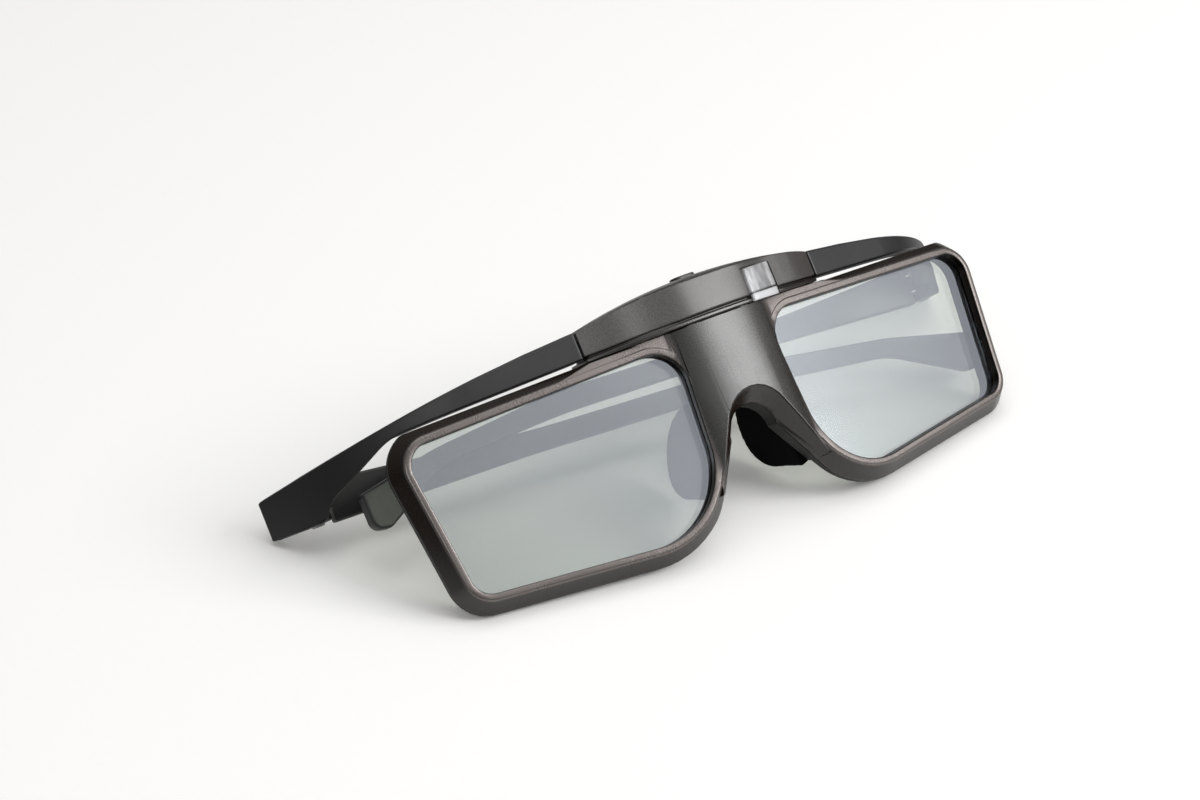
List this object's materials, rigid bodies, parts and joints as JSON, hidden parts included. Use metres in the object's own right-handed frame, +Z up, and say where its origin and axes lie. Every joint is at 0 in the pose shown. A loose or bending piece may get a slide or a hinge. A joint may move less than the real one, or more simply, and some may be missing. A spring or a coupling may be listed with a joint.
{
  "type": "3d glasses",
  "caption": "Active-shutter 3D glasses with flat shutter lenses, a central sensor and battery housing, swept brow arms, folding temples and nose pads.",
  "frame": {"origin": "middle of the floor under the folded glasses as they lie on their rims and arm ends", "axes": "+X from the left lens to the right lens as seen from the front, -Y the way the lenses face, +Z up"},
  "size_m": [0.16, 0.055, 0.0425],
  "materials": {
    "graphite": "satin metallic lacquer",
    "base_graphite": "satin metallic lacquer",
    "rear_black": "fine matte",
    "arm_black": "fine matte",
    "lens": "polished, slightly grey-green",
    "flex": "smooth film",
    "window": "clear polished plastic",
    "receiver": "smooth",
    "board": "solder mask",
    "battery": "foil",
    "switch": "moulded",
    "button": "fine matte",
    "socket": "stamped",
    "light": "clear",
    "steel": "turned",
    "pad": "soft matte"
  },
  "bodies": {
    "front": {"front_frame": "graphite", "rear_frame": "rear_black", "lens_left": "lens", "lens_right": "lens", "tail_left": "flex", "tail_right": "flex", "housing_base": "base_graphite", "housing": "graphite", "housing_cover": "graphite", "sensor_window": "window", "infrared_receiver": "receiver", "circuit_board": "board", "battery": "battery", "push_switch": "switch", "charging_socket": "socket", "status_light": "light", "arm_left": "arm_black", "arm_right": "arm_black", "arm_screws": "steel", "hinge_screws": "steel", "nose_pad_left": "pad", "nose_pad_right": "pad"},
    "left_temple": {"temple_left": "arm_black"},
    "right_temple": {"temple_right": "arm_black"},
    "button": {"power_button": "button"}
  },
  "joints": [
    {"name": "left_temple_fold", "type": "hinge", "parent": "front", "child": "left_temple", "pos_m": [-0.07329, 0.01885, 0.00796], "axis": [0, 0.6577, 0.7532], "range_deg": [0, 92.4]},
    {"name": "right_temple_fold", "type": "hinge", "parent": "front", "child": "right_temple", "pos_m": [0.07329, 0.01885, 0.00796], "axis": [0, -0.6577, -0.7532], "range_deg": [0, 90.4]},
    {"name": "power_press", "type": "slide", "parent": "front", "child": "button", "axis": [0, -0.6577, -0.7532], "range_m": [0, 0.0004], "stiffness_N_per_m": 4000}
  ]
}
